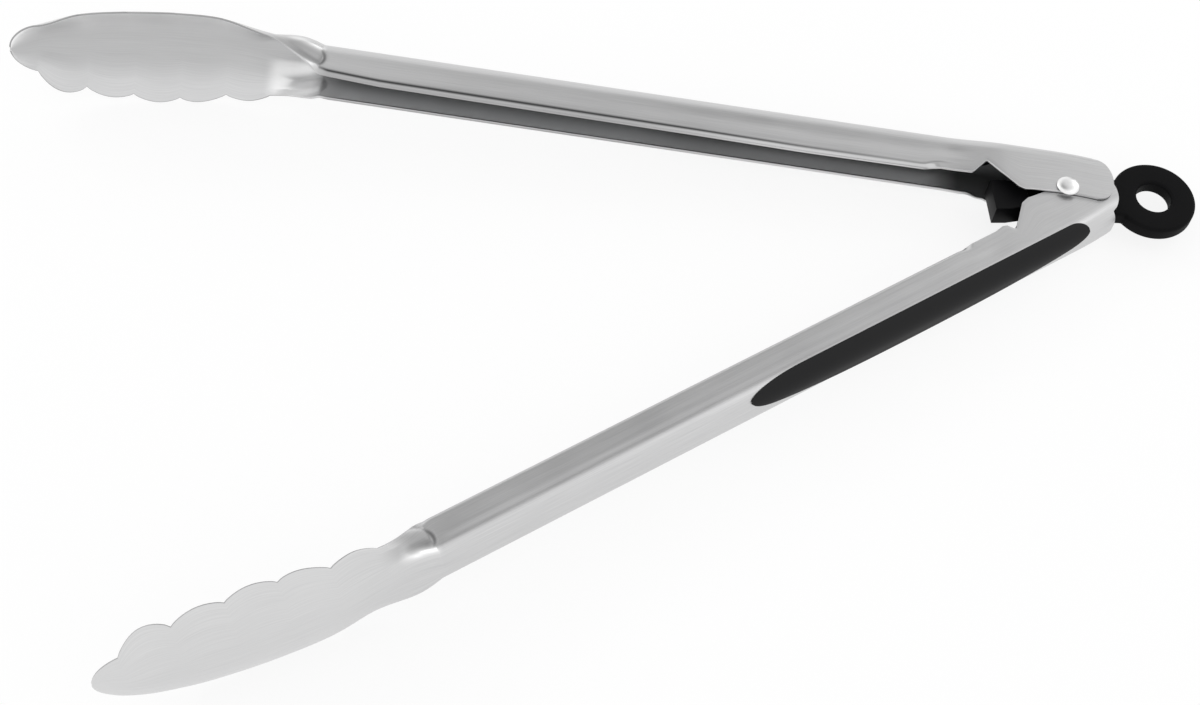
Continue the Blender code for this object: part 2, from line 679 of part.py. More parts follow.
def arm_matrix(outer):
    """Arm frame in the hinge frame, as a turn without mirroring."""
    side = 1.0 if outer else -1.0
    along = Vector((-math.cos(HALF_OPEN), side * math.sin(HALF_OPEN), 0.0))
    outwards = Vector((math.sin(HALF_OPEN), side * math.cos(HALF_OPEN), 0.0))
    up = Vector((0.0, 0.0, -side))
    matrix = Matrix((along, outwards, up)).transposed()
    return matrix.to_4x4()


def rest_tilt():
    """Tip that brings both heads' lowest scallops and the rivet's head to one plane."""
    places = np.linspace(WALL_END, ARM_REACH - NOSE_LENGTH, 400)
    drops = [half_width_at(x, 0.0) + scallop_at(x) * math.cos(HEAD_FLARE) for x in places]
    lowest = int(np.argmax(drops))
    rivet_drop = HALF_WIDTH + EAR_STEP + RUN_GAP + RIVET_HEAD_RISE
    return math.atan2(drops[lowest] - rivet_drop, places[lowest] * math.cos(HALF_OPEN))


def world_box(items):
    graph = bpy.context.evaluated_depsgraph_get()
    corners = []
    for item in items:
        solid = item.evaluated_get(graph)
        mesh = solid.to_mesh()
        corners.extend(solid.matrix_world @ vertex.co for vertex in mesh.vertices)
        solid.to_mesh_clear()
    corners = np.array(corners)
    return corners.min(axis=0), corners.max(axis=0)


def build():
    clear_scene()
    root = add_empty("tongs", None, Matrix.Rotation(rest_tilt(), 4, "Y"))
    outer = add_empty("outer_arm_frame", root, arm_matrix(True))
    inner = add_empty("inner_arm_frame", root, arm_matrix(False))
    lock = add_empty("lock_frame", root, Matrix.Rotation(-SLIDE_LEAN, 4, "Z"))
    route = spring_route(arm_matrix(True), arm_matrix(False))
    pieces = [
        make_arm("outer_arm", outer, EAR_STEP, -1.0, OUTER_NOTCH_APEX_Y),
        make_arm("inner_arm", inner, 0.0, 1.0, INNER_NOTCH_APEX_Y),
        make_pad("outer_grip_pad", outer, EAR_STEP),
        make_pad("inner_grip_pad", inner, 0.0),
        make_core("outer_grip_core", outer),
        make_core("inner_grip_core", inner),
        make_rivet(root),
        make_bush(root),
        make_spring(root, route),
        make_slide(lock),
        make_ring(lock)]
    bpy.context.view_layer.update()
    low, high = world_box(pieces)
    root.location = (-(low[0] + high[0]) / 2.0, -(low[1] + high[1]) / 2.0, -low[2])
    bpy.context.view_layer.update()
    print("least gap between turns of the spring: %.2f mm" % (least_self_gap(route) * 1000.0))
    print("pivot at", tuple(round(v, 6) for v in root.matrix_world.translation))
    print("pivot axis", tuple(round(v, 6) for v in root.matrix_world.to_3x3().col[2]))
    print("slide axis", tuple(round(v, 6) for v in lock.matrix_world.to_3x3().col[0]))
    print("size", tuple(round(float(v), 5) for v in high - low))


build()
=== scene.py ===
import json
import math

import bpy
import numpy as np
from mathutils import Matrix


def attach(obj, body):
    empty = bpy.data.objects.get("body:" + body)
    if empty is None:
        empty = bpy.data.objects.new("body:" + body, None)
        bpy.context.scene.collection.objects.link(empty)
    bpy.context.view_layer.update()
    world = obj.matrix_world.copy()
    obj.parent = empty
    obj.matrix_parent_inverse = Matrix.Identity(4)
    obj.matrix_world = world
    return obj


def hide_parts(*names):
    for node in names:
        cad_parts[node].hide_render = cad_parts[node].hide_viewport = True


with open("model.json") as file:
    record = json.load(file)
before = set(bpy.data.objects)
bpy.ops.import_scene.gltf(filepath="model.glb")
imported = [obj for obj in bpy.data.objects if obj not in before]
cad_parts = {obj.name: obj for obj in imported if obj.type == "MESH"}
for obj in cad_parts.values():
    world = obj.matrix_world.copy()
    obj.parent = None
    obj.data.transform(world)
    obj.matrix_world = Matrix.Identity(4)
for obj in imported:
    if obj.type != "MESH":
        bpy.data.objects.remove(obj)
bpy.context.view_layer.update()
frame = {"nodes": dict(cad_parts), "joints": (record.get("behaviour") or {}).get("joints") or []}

# Where the tongs lie. They rest on one side, open, and every shape below is worked out in
# the hinge's own frame: Z along the rivet, the arms to both sides of -X, the ring at +X.
hinge = next(joint for joint in frame["joints"] if joint["name"] == "arm_hinge")
pivot = np.array(hinge["pos_m"])
rivet_line = -np.array(hinge["axis"])
level = np.array((0.0, 1.0, 0.0))
hinge_axes = np.stack([np.cross(level, rivet_line), level, rivet_line])
half_open = math.radians(39.1) / 2.0
lock_lean = math.radians(9.0)


def arm_axes(side):
    """Rows of an arm's frame in the hinge's: along the arm, outwards to its back, and up.

    side is 1 for the outer arm and -1 for the inner one.
    """
    along = (-math.cos(half_open), side * math.sin(half_open), 0.0)
    outwards = (math.sin(half_open), side * math.cos(half_open), 0.0)
    return np.array([along, outwards, (0.0, 0.0, -side)])


lock_axes = np.array([(math.cos(lock_lean), -math.sin(lock_lean), 0.0),
                      (math.sin(lock_lean), math.cos(lock_lean), 0.0), (0.0, 0.0, 1.0)])


def placed(points, axes):
    """World place of points given in a frame whose rows are axes in the hinge's frame."""
    return pivot + points @ axes @ hinge_axes


# The camera stands where the photograph was taken from: left of the tongs and a little in
# front, looking down on them with a slight roll.
eye = np.array((-0.3606, -0.4479, 0.6454))
turn, dip, roll = (math.radians(a) for a in (22.55, 55.47, 10.73))
film_width, focal_pixels, image_pixels = 36.0, 2225.0, 1200.0
ahead = np.array((math.sin(turn) * math.cos(dip), math.cos(turn) * math.cos(dip), -math.sin(dip)))
right = np.array((math.cos(turn), -math.sin(turn), 0.0))
down = np.cross(ahead, right)
camera_x = math.cos(roll) * right - math.sin(roll) * down
camera_y = -math.sin(roll) * right - math.cos(roll) * down
camera_matrix = np.eye(4)
camera_matrix[:3, :3] = (np.stack([camera_x, camera_y, -ahead]) @ hinge_axes).T
camera_matrix[:3, 3] = pivot + eye @ hinge_axes
camera = bpy.data.objects.new("camera", bpy.data.cameras.new("camera"))
camera.data.sensor_width = film_width
camera.data.lens = film_width * focal_pixels / image_pixels
camera.data.clip_start = 0.05
camera.data.clip_end = 20.0
camera.matrix_world = camera_matrix.T.tolist()
bpy.context.scene.collection.objects.link(camera)
bpy.context.scene.camera = camera

# The two arms. Each is one strip of 1 mm stainless steel, folded to a channel with a round
# back and turned-in lips, pressed open at the tip to a scoop with scalloped edges, and
# pierced at the hinge end, where the outer arm's ears step out over the inner arm's.
arm_reach = 0.400
head_length = 0.1155
wall_end = arm_reach - head_length
half_channel = 0.0081
channel_back = 0.0198
channel_edge = 0.0028
back_radius = 0.0065
sheet = 0.0010
ear_step, joggle_end, joggle_length = 0.0013, 0.0470, 0.0240
hinge_fall, fall_start, fall_length = 0.0008, 0.0060, 0.0160
# The lips, the dish and groove in the walls, the dimple at the neck, and the sheet's rims.
lip_radius, lip_flat, lip_runout = 0.0013, 0.0004, 0.0080
least_turn = math.radians(2.0)
notched_lip, plain_lip = 0.0480, 0.0300
dish_start, dish_runin, dish_runout, dish_power = 0.0340, 0.0120, 0.0100, 1.6
groove_depth, groove_place = 0.00003, 0.14
dimple_depth, dimple_height, dimple_half = 0.0009, 0.0097, 0.0046
dimple_front, front_bow, front_length = 0.0027, 0.0025, 0.0040
dimple_fade, fade_length = 0.0045, 0.0150
edge_thinning, thin_width, thin_runin = 0.35, 0.0050, 0.0200
rim_bulge, rim_spacing, least_plate = 0.00025, 0.00020, 0.00015
# The head: its half width, flare and nose, its scallops, and its outline as shares of the
# full width, of the edge's height and of the back's at places along it.
head_half = 0.02375
flare = math.radians(44.0)
neck_blend = 0.0300
nose = 0.0090
scallops = 5
scallop_rise, tip_rise, crest_power = 0.0022, 0.0046, 0.75
first_valley = wall_end + 0.0195
scallop_pitch = (arm_reach - nose - first_valley) / scallops
places = (0.0, 0.065, 0.134, 0.203, 0.325, 0.468, 0.602, 0.760, 0.922, 1.0)
width_shares = (0.0, 0.27, 0.49, 0.65, 0.86, 1.0, 0.962, 0.79, 0.28, 0.13)
edge_shares = (0.0, 0.19, 0.33, 0.39, 0.427, 0.263, 0.146, 0.012, -0.129, -0.246)
back_shares = (1.0, 0.985, 0.935, 0.906, 0.918, 0.842, 0.719, 0.503, 0.170, -0.216)
# The ears: the round end, the heel, the waist and the front corner.
ear_radius, ear_x, ear_y = 0.0130, -0.0048, 0.0050
heel_radius, heel_x, heel_drop, heel_top = 0.0055, -0.0117, 0.0035, -0.0002
waist_x, waist_drop = 0.0020, 0.0028
ear_end, corner_drop = 0.0160, 0.0038
# The free edges from the ears' end on: places along the arm, and the heights there.
plain_edge = ((ear_end, 0.0170, 0.0265, 0.0285), (-corner_drop, -0.0028, 0.0020, channel_edge))
outer_vee = ((ear_end, 0.0170, 0.0185, 0.0305, 0.0312, 0.0359, 0.0480,
              0.0540, 0.1000, 0.1420, 0.2220, 0.2620, wall_end),
             (-corner_drop, -0.0036, -0.0030, 0.0073, 0.0070, 0.0012, 0.0014,
              0.0004, -0.0001, 0.0004, 0.0009, 0.0012, channel_edge))
inner_vee = ((ear_end, 0.0170, 0.0195, 0.0290, 0.0300, 0.0314, 0.0330, 0.0372),
             (-corner_drop, -0.0036, -0.0030, 0.0052, 0.0051, 0.0028, 0.0021, channel_edge))
# How far each arm's walls are dished: places along the arm, and the depths there.
outer_dish = ((0.110, 0.170), (0.00020, 0.00003))
inner_dish = ((0.110, 0.170), (0.00018, 0.00018))
back_end, ear_top = -0.0100, 0.0158


def eased(share):
    """A share held between 0 and 1, and eased at both ends: three squares less two cubes."""
    share = np.clip(share, 0.0, 1.0)
    return share * share * (3.0 - 2.0 * share)


def curve_through(place, at, values):
    """A smooth line through values at the given places.

    Between two of them it is the cubic whose end slopes are the averages of its neighbours'.
    """
    at, values = np.asarray(at), np.asarray(values)
    slopes = np.gradient(values, at)
    i = np.clip(np.searchsorted(at, place) - 1, 0, len(at) - 2)
    span = at[i + 1] - at[i]
    t = np.clip((place - at[i]) / span, 0.0, 1.0)
    lead = (t ** 3 - 2.0 * t ** 2 + t) * slopes[i] + (t ** 3 - t ** 2) * slopes[i + 1]
    return values[i] + (values[i + 1] - values[i]) * (3.0 * t ** 2 - 2.0 * t ** 3) + span * lead


def half_width(x, step):
    """Half the arm's width: the channel's, with the ears' step added, or the head's."""
    head = curve_through((x - wall_end) / head_length, places, width_shares)
    into_nose = np.clip((x - arm_reach + nose) / nose, 0.0, 1.0)
    head = (half_channel + (head_half - half_channel) * head) * np.sqrt(1.0 - into_nose ** 2)
    channel = half_channel + step * eased((joggle_end - x) / joggle_length)
    return np.where(x <= wall_end, channel, head)


def edge_height(x, outline):
    """Height of a free edge: the ear's, waisted by a square, the outline given, then the head."""
    head = curve_through((x - wall_end) / head_length, places, edge_shares)
    heel, corner = (x - waist_x) / (heel_x - waist_x), (x - waist_x) / (ear_end - waist_x)
    ear = np.where(x < waist_x, (heel_drop - waist_drop) * np.clip(heel, 0.0, 1.0) ** 2,
                   (corner_drop - waist_drop) * np.clip(corner, 0.0, 1.0) ** 2)
    wall = np.where(x < ear_end, -waist_drop - ear, np.interp(x, *outline))
    return np.where(x <= wall_end, wall, channel_edge + (channel_back - channel_edge) * head)


def back_height(x):
    """Height of the back: level along the channel, a slight fall at the hinge, the head."""
    head = curve_through((x - wall_end) / head_length, places, back_shares)
    fall = np.clip((fall_start - x) / fall_length, 0.0, 1.0)
    channel = channel_back - hinge_fall * fall ** 2
    return np.where(x <= wall_end, channel, channel_edge + (channel_back - channel_edge) * head)


def channel_section(x, step, column, outline, lip_start, dish):
    """Half of the folded channel's outer face, as heights and half widths.

    column runs from 0 at the lip's end over 1 at its bend, 2 at the foot of the wall and 3
    at its head to 4 at the end of the back's bend, and 5 is the middle of the back. The walls
    are dished by the square of a sine of their height, raised to a power that keeps the dish
    away from the fold, and a faint groove runs beside the fold.
    """
    folded = eased((x - lip_start) / lip_runout)
    folded = folded * (1.0 - eased((x - wall_end + lip_runout / 2.0) / lip_runout))
    turned = np.maximum(folded * math.pi / 2.0, least_turn)
    half, back = half_width(x, step), back_height(x)
    radius = lip_radius * math.pi / 2.0 / turned
    fold = edge_height(x, outline) + radius * np.sin(turned) + lip_flat * np.cos(turned)
    lip, bend, wall, corner, middle = (np.clip(column - i, 0.0, 1.0) for i in range(5))
    angle = turned * (1.0 - bend)
    y = fold - radius * np.sin(angle) - lip_flat * (1.0 - lip) * np.cos(turned)
    z = half - radius * (1.0 - np.cos(angle)) - lip_flat * (1.0 - lip) * np.sin(turned)
    y = y + (back - back_radius - fold) * wall + back_radius * np.sin(corner * math.pi / 2.0)
    z = z - back_radius * (1.0 - np.cos(corner * math.pi / 2.0)) - (half - back_radius) * middle
    along = eased((x - dish_start) / dish_runin)
    along = along * (1.0 - eased((x - wall_end + dish_runout) / dish_runout))
    beside_fold = np.clip((wall - groove_place) / groove_place, -1.0, 1.0)
    groove = groove_depth / 2.0 * (1.0 + np.cos(math.pi * beside_fold))
    dished = np.interp(x, *dish) * np.sin(math.pi * wall ** dish_power) ** 2
    return y, z - (dished + groove) * along


def neck_dimple(x, y):
    """How far the walls are pressed in where the channel ends and the scoop begins.

    Across the wall it is a squared parabola, along it a quick start on a curved front, then
    a slow fade.
    """
    across = np.clip((y - dimple_height) / dimple_half, -1.0, 1.0)
    front = eased((x - wall_end + dimple_front - front_bow * across ** 2) / front_length)
    fade = 1.0 - eased((x - wall_end - dimple_fade) / fade_length)
    return dimple_depth * front * fade * (1.0 - across ** 2) ** 2


def scoop_section(x, share):
    """Half of the head's outer face: an arc that meets its edges at the flare's angle.

    share is 0 at the edge and 1 in the middle. The scallops lengthen the arc by a rise that
    follows a sine of the place along the edge, raised to a power that rounds their crests.
    """
    half, back, edge = half_width(x, 0.0), back_height(x), edge_height(x, plain_edge)
    place = (x - first_valley) / scallop_pitch
    crest = np.where(place > scallops - 1.0, tip_rise, scallop_rise)
    inside = (place > 0.0) & (place < scallops)
    rise = np.where(inside, crest * np.abs(np.sin(math.pi * place)) ** crest_power, 0.0)
    radius = half / math.sin(flare)
    deepen = (back - edge) / (radius * (1.0 - math.cos(flare)))
    angle = (flare + rise / radius) * (1.0 - share)
    return back - deepen * radius * (1.0 - np.cos(angle)), radius * np.sin(angle)


def arm_face(step, sides):
    """The arm's outer face as a grid of points, from the hinge end to the tip.

    sides gives each wall's free edge, the start of its lip and its dish: first +z's, then -z's.
    The columns keep the spacing that they have in the middle of the channel. The rows lie
    closer where the edge, the lips, the neck or the scallops turn. At the hinge end each row
    starts on the ear's round end, found by a few rounds, as its height depends on its place.
    """
    columns = np.concatenate([
        np.linspace(0, 1, 4)[:-1], np.linspace(1, 2, 7)[:-1], np.linspace(2, 2.15, 7)[:-1],
        np.linspace(2.15, 3, 15)[:-1], np.linspace(3, 4, 13)[:-1], np.linspace(4, 5, 6)])
    in_wall = columns < 4.2
    mid_channel = np.full(len(columns), 0.15)
    y, z = channel_section(mid_channel, 0.0, columns, *sides[0])
    spread = np.concatenate([[0.0], np.cumsum(np.hypot(np.diff(y), np.diff(z)))])
    share = spread / spread[-1]
    turns = np.radians(np.linspace(0.0, 84.0, 15))
    valleys = np.linspace(first_valley, arm_reach - nose, 16 * scallops + 1)
    rows = np.concatenate([
        np.linspace(0.0060, ear_end, 6), np.linspace(0.0165, 0.0195, 7),
        np.linspace(0.0195, 0.0290, 10)[1:], [0.0295, 0.0300, 0.0305, 0.0312],
        np.linspace(0.0314, 0.0420, 14), np.linspace(0.0428, 0.0476, 7),
        np.linspace(notched_lip, notched_lip + lip_runout, 13),
        np.linspace(0.0568, wall_end - 0.006, 40),
        np.linspace(wall_end - lip_runout / 2.0, wall_end + lip_runout / 2.0, 25),
        np.linspace(wall_end + 0.0045, first_valley, 24)[:-1],
        valleys[:-1], arm_reach - nose + nose * np.sin(turns)])
    halves = []
    for side in sides:
        x = np.repeat(rows[:, None], len(columns), axis=1)
        end = x[0]
        for _ in range(4):
            reach = channel_section(end, step, columns, *side)[0]
            round_end = ear_x - np.sqrt(np.maximum(ear_radius ** 2 - (reach - ear_y) ** 2, 0.0))
            from_heel = reach - heel_radius + heel_drop
            heel = heel_x - np.sqrt(np.maximum(heel_radius ** 2 - from_heel ** 2, 0.0))
            end = np.where(reach > ear_top, back_end, np.where(reach > heel_top, round_end, heel))
        ears = end + (x[0] - end) * np.linspace(0.0, 1.0, 15)[:-1, None]
        x = np.concatenate([ears, x])
        y, z = channel_section(x, step, np.broadcast_to(columns, x.shape), *side)
        into_head = eased((x - wall_end) / neck_blend)
        cup_y, cup_z = scoop_section(np.maximum(x, wall_end), share)
        y, z = y + (cup_y - y) * into_head, z + (cup_z - z) * into_head
        halves.append(np.stack([x, y, z - neck_dimple(x, y) * in_wall], axis=-1))
    other = halves[1][:, -2::-1] * (1.0, 1.0, -1.0)
    spread = np.concatenate([spread, 2.0 * spread[-1] - spread[-2::-1]])
    return np.concatenate([halves[0], other], axis=1), spread


def faces_of_grid(rows, columns, closed):
    """Corner numbers of the quads of a grid stored row by row, closed across or not."""
    i, j = np.meshgrid(np.arange(rows - 1), np.arange(columns if closed else columns - 1),
                       indexing="ij")
    here, below, after = i * columns, (i + 1) * columns, (j + 1) % columns
    return np.stack([here + j, below + j, below + after, here + after], axis=-1).reshape(-1, 4)


def outward_normals(grid):
    """Unit normals of a grid: the cross product of its steps down and across."""
    normals = np.cross(np.gradient(grid, axis=0), np.gradient(grid, axis=1))
    return normals / np.maximum(np.linalg.norm(normals, axis=-1, keepdims=True), 1e-12)


def finish_piece(name, mesh, body, sharp=38.0):
    """Makes a mesh a piece on a body, smooth but for edges sharper than the given angle."""
    mesh.shade_smooth()
    mesh.set_sharp_from_angle(angle=math.radians(sharp))
    piece = bpy.data.objects.new(name, mesh)
    bpy.context.scene.collection.objects.link(piece)
    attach(piece, body)
    return piece


def make_piece(name, points, faces, body, uv=None, sharp=38.0):
    """A piece from points and faces, with its place in a material's pattern if it has one."""
    mesh = bpy.data.meshes.new(name)
    mesh.from_pydata(points.tolist(), [], faces if isinstance(faces, list) else faces.tolist())
    if uv is not None:
        corners = np.zeros(len(mesh.loops), int)
        mesh.loops.foreach_get("vertex_index", corners)
        mesh.uv_layers.new(name="run").data.foreach_set("uv", uv[corners].astype(np.float32).ravel())
    return finish_piece(name, mesh, body, sharp)


def onset(place, start, length):
    """A share that is 0 up to the start and 1 from a length further on, eased between."""
    return eased((place - start) / length)


# The arm's painted light and shade: places, widths and strengths of the painted shade, the painted
# highlights and the inner face's painted shade.
crease_line = lip_flat + lip_radius * math.pi / 2.0 + 0.0002
crease_wide, crease_widens, lip_blur = 0.0005, 0.0003, 0.0005
lip_shade, front_shade, dimple_shade, rim_shade = 0.3, 0.75, 0.42, 0.4
step_place, step_wide, back_zone = 0.0012, 0.0011, 0.0040
highlight_height, highlight_wide, head_lighter = 0.0142, 0.0016, 0.23
scoop_polish, hinge_shade = 0.8, 1.2


def shade_arm(arm, side, outer, inner, to_edge, rim):
    """Numbers at the arm's points that its material reads, 0 for none and 1 for all.

    One is painted shade, dark colour where the folds and dimples would lie in shade: bell curves of the
    distance from the coined line beside each lip and from the step down into each dimple, weaker on the
    lip and in the dimple, and faintly the head's rims. One is painted light, steel painted lighter: the
    head's outer face, a painted highlight on a bell curve of the height over the back edge of each
    dimple, a band in the scoop that lifts its shade, and a painted highlight in its neck. One marks the
    duller inner face, and one is its painted shade away from the edges and in the hinge, where it goes
    over 1 so as to stay full for longer.
    """
    rows, count = outer.shape[:2]
    crease_shade, inside, inner_shade, painted_light = np.zeros((4, rows, 2 * (count + rim)), np.float32)
    x, past_wall = outer[..., 0], outer[..., 0] - wall_end
    # Painted shade along the coined line beside each lip and, weaker, on the lip.
    wide = crease_wide + crease_widens * onset(x, 0.100, 0.120)
    beside_lip = np.exp(-((to_edge - crease_line) / wide) ** 2) * (0.45 + 0.5 * onset(x, 0.050, 0.100))
    on_lip = lip_shade * eased((crease_line - to_edge) / lip_blur) * onset(x, 0.100, 0.080)
    along = onset(x, 0.042, 0.008) * (1.0 - onset(past_wall, -0.004, 0.008))
    line_shade = np.maximum(beside_lip, on_lip) * along * (0.6 + 0.4 * side)
    # Painted shade at the step down into each dimple and, weaker, in the dimple.
    across = np.clip((outer[..., 1] - dimple_height) / dimple_half, -1.0, 1.0)
    down_step = (past_wall + step_place - front_bow * across ** 2) / step_wide
    past_step = eased(down_step) * (1.0 - onset(past_wall, 0.006, 0.016))
    dimple = np.maximum(front_shade * np.exp(-down_step ** 2), dimple_shade * past_step)
    dimple = dimple * (1.0 - across ** 4) * (np.abs(outer[..., 2]) > back_zone)
    crease_shade[:, :count] = np.maximum(line_shade, dimple)
    # Faint painted shade on the head's rims.
    crease_shade[:, count:count + rim] = rim_shade * onset(past_wall[:, :1], 0.005, 0.020)
    crease_shade[:, 2 * count + rim:] = crease_shade[:, count:count + rim]
    # Painted highlight along each dimple's back edge, and the head's outer face painted a little
    # lighter.
    dimple_highlight = np.exp(-((outer[..., 1] - highlight_height) / highlight_wide) ** 2)
    dimple_highlight = dimple_highlight * onset(past_wall, -0.002, 0.003) * (1.0 - onset(past_wall, 0.008, 0.008))
    painted_light[:, :count] = np.maximum(dimple_highlight, head_lighter * onset(past_wall, -0.004, 0.050))
    face, inner_edge = slice(count + rim, 2 * count + rim), to_edge[::-1]
    x, past_wall, lower = inner[:, ::-1, 0], inner[:, ::-1, 0] - wall_end, side * inner[:, ::-1, 2]
    inside[:, face] = 1.0 - scoop_polish * onset(past_wall, -0.012, 0.014)
    # Painted shade on the inner face, away from its edges and in the hinge.
    in_hinge = hinge_shade * (1.0 - onset(x, 0.032, 0.024))
    inner_shade[:, face] = np.maximum(onset(inner_edge, 0.003, 0.013), in_hinge)
    # Painted light in the scoop: a band near its rims that lifts its shade, and a painted highlight in
    # its neck.
    band = (1.0 - onset(inner_edge, 0.008, 0.016)) * onset(past_wall, 0.010, 0.025) * (lower < 0.0)
    patch = (1.0 - onset(np.abs(past_wall - 0.011), 0.006, 0.006)) * onset(lower, 0.004, 0.004)
    painted_light[:, face] = np.maximum(band, patch)
    for name, values in {"crease_shade": crease_shade, "inside": inside, "inner_shade": inner_shade, "painted_light": painted_light}.items():
        arm.data.attributes.new(name, "FLOAT", "POINT").data.foreach_set("value", values.ravel())


def make_arm(name, side, step, body, sides):
    """The folded sheet: its outer face, its inner face one sheet further in, and round rims.

    Each row is one closed loop: outer face, rim, inner face, rim. The rims are half ellipses.
    Pressing thins the sheet towards the head's edges, by an eased step. Past the back's end
    each ear is a plate of its own, whose inner face stays on its own side of the middle.
    """
    outer, spread = arm_face(step, sides)
    normals = outward_normals(outer)
    to_edge = np.minimum(spread, spread[-1] - spread)
    thinned = 1.0 - eased(to_edge / thin_width)
    thinned = edge_thinning * thinned * eased((outer[..., 0] - wall_end) / thin_runin)
    inner = outer - (sheet * (1.0 - thinned))[..., None] * normals
    plate = np.maximum(np.abs(inner[..., 2]), half_channel + step - sheet)
    plate = np.sign(outer[..., 2]) * np.clip(plate, 0.0, np.abs(outer[..., 2]) - least_plate)
    inner[..., 2] = np.where(inner[..., 0] < back_end - 1e-5, plate, inner[..., 2])
    turns = np.linspace(0.0, math.pi, 8)[1:-1, None]
    rims = []
    for edge, beside in ((-1, -2), (0, 1)):
        out = outer[:, edge] - outer[:, beside]
        out /= np.linalg.norm(out, axis=-1, keepdims=True)
        middle = (outer[:, edge] + inner[:, edge]) / 2.0
        half_sheet = (outer[:, edge] - inner[:, edge]) / 2.0
        cosine = np.cos(turns) if edge == -1 else -np.cos(turns)
        bulge = rim_bulge * out[:, None] * np.sin(turns)
        rims.append(middle[:, None] + half_sheet[:, None] * cosine + bulge)
    loop = np.concatenate([outer, rims[0], inner[:, ::-1], rims[1]], axis=1)
    rows, columns = loop.shape[:2]
    faces = faces_of_grid(rows, columns, True).tolist()
    count, rim = outer.shape[1], rims[0].shape[1]
    for first, turn_round in ((0, False), ((rows - 1) * columns, True)):
        caps = [[k, k + 1, 2 * count + rim - 2 - k, 2 * count + rim - 1 - k] for k in range(count - 1)]
        caps.append(list(range(count - 1, count + rim + 1)))
        caps.append(list(range(2 * count + rim - 1, columns)) + [0])
        faces += [[first + k for k in (cap[::-1] if turn_round else cap)] for cap in caps]
    rim_run = np.arange(1, rim + 1) * rim_spacing
    across_run = np.concatenate([spread, spread[-1:] + rim_run, spread[::-1], -rim_run[::-1]])
    uv = np.stack([loop[..., 0], np.broadcast_to(across_run, (rows, columns))], axis=-1).reshape(-1, 2)
    arm = make_piece(name, placed(loop.reshape(-1, 3), arm_axes(side)), faces, body, uv)
    shade_arm(arm, side, outer, inner, to_edge, rim)
    return arm


def linear(hex_colour):
    """Linear colour of an sRGB hex value: a power of 2.4 above the short straight foot."""
    srgb = np.array([int(hex_colour[i:i + 2], 16) for i in (0, 2, 4)]) / 255.0
    value = np.where(srgb <= 0.04045, srgb / 12.92, ((srgb + 0.055) / 1.055) ** 2.4)
    return (*value.tolist(), 1.0)


def feed(tree, node, inputs):
    """Sets a node's inputs, each to a value or by a link to another node's socket."""
    for key, value in inputs.items():
        if isinstance(value, bpy.types.NodeSocket):
            tree.links.new(value, node.inputs[key])
        else:
            node.inputs[key].default_value = value


def add_node(tree, kind, settings, inputs):
    """Adds one node: settings are its own choices, inputs are values or another's socket."""
    node = tree.nodes.new("ShaderNode" + kind)
    for key, value in settings.items():
        setattr(node, key, value)
    feed(tree, node, inputs)
    return node


def noise(tree, where, scale, detail):
    """A soft irregular pattern, with as many waves to a metre as scale says."""
    inputs = {"Vector": where, "Scale": scale, "Detail": detail}
    return add_node(tree, "TexNoise", {}, inputs).outputs["Fac"]


def mixed(tree, factor, first, second):
    """A colour between two: the first where the factor is 0, the second where it is 1."""
    inputs = {"Factor": factor, 6: first, 7: second}
    return add_node(tree, "Mix", {"data_type": "RGBA"}, inputs).outputs[2]


def ranged(tree, value, least, most):
    """A value from 0 to 1 brought between two others."""
    inputs = {"Value": value, "To Min": least, "To Max": most}
    return add_node(tree, "MapRange", {}, inputs).outputs["Result"]


def dented(tree, pattern, strength, depth):
    """The surface's direction with a pattern pressed into it, to a depth in metres."""
    inputs = {"Strength": strength, "Distance": depth, "Height": pattern}
    return add_node(tree, "Bump", {}, inputs).outputs["Normal"]


def arm_number(tree, name):
    """One of the numbers that shade_arm leaves at the mesh's points."""
    return add_node(tree, "Attribute", {"attribute_name": name}, {}).outputs["Fac"]


def new_material(name):
    """An empty node material, with the shader and the output that it ends in."""
    material = bpy.data.materials.new(name)
    material.use_nodes = True
    tree = material.node_tree
    tree.nodes.clear()
    shader = add_node(tree, "BsdfPrincipled", {}, {})
    add_node(tree, "OutputMaterial", {}, {"Surface": shader.outputs["BSDF"]})
    return material, tree, shader


# Brushed stainless steel: the belt leaves fine lines along the arm, which stretch each highlight across
# it. The inside of the fold is as it left the mill, duller, with painted shade that darkens it away
# from its edges and in the hinge.
steel, tree, shader = new_material("brushed_stainless_steel")
run = add_node(tree, "UVMap", {"uv_map": "run"}, {}).outputs["UV"]
# Lines 0.3 mm apart and 25 mm long, coarser than the real 0.05 mm so that they show.
lines = add_node(tree, "Mapping", {}, {"Vector": run, "Scale": (40.0, 3300.0, 1.0)}).outputs["Vector"]
grain = add_node(tree, "TexNoise", {}, {
    "Vector": lines, "Scale": 1.0, "Detail": 3.0, "Roughness": 0.6}).outputs["Fac"]
# Slow changes over 30 mm, where the belt bore harder or softer.
clouds = noise(tree, run, 33.0, 2.0)
inside, crease_shade = arm_number(tree, "inside"), arm_number(tree, "crease_shade")
bright = mixed(tree, grain, linear("bebebf"), linear("dedede"))
# Painted light: lighter steel painted as a highlight along the dimples' back edges and in the scoop's
# neck, as a band near the scoop's rims that lifts its shade, and a little over the head's outside.
bright = mixed(tree, arm_number(tree, "painted_light"), bright, linear("f6f6f6"))
inner_steel_and_shade = mixed(tree, clouds, linear("eaebec"), linear("f6f6f7"))
# Painted shade: the inner face darker away from its edges and in the hinge.
inner_steel_and_shade = mixed(tree, arm_number(tree, "inner_shade"), inner_steel_and_shade, linear("7a7b7c"))
colour = mixed(tree, inside, bright, inner_steel_and_shade)
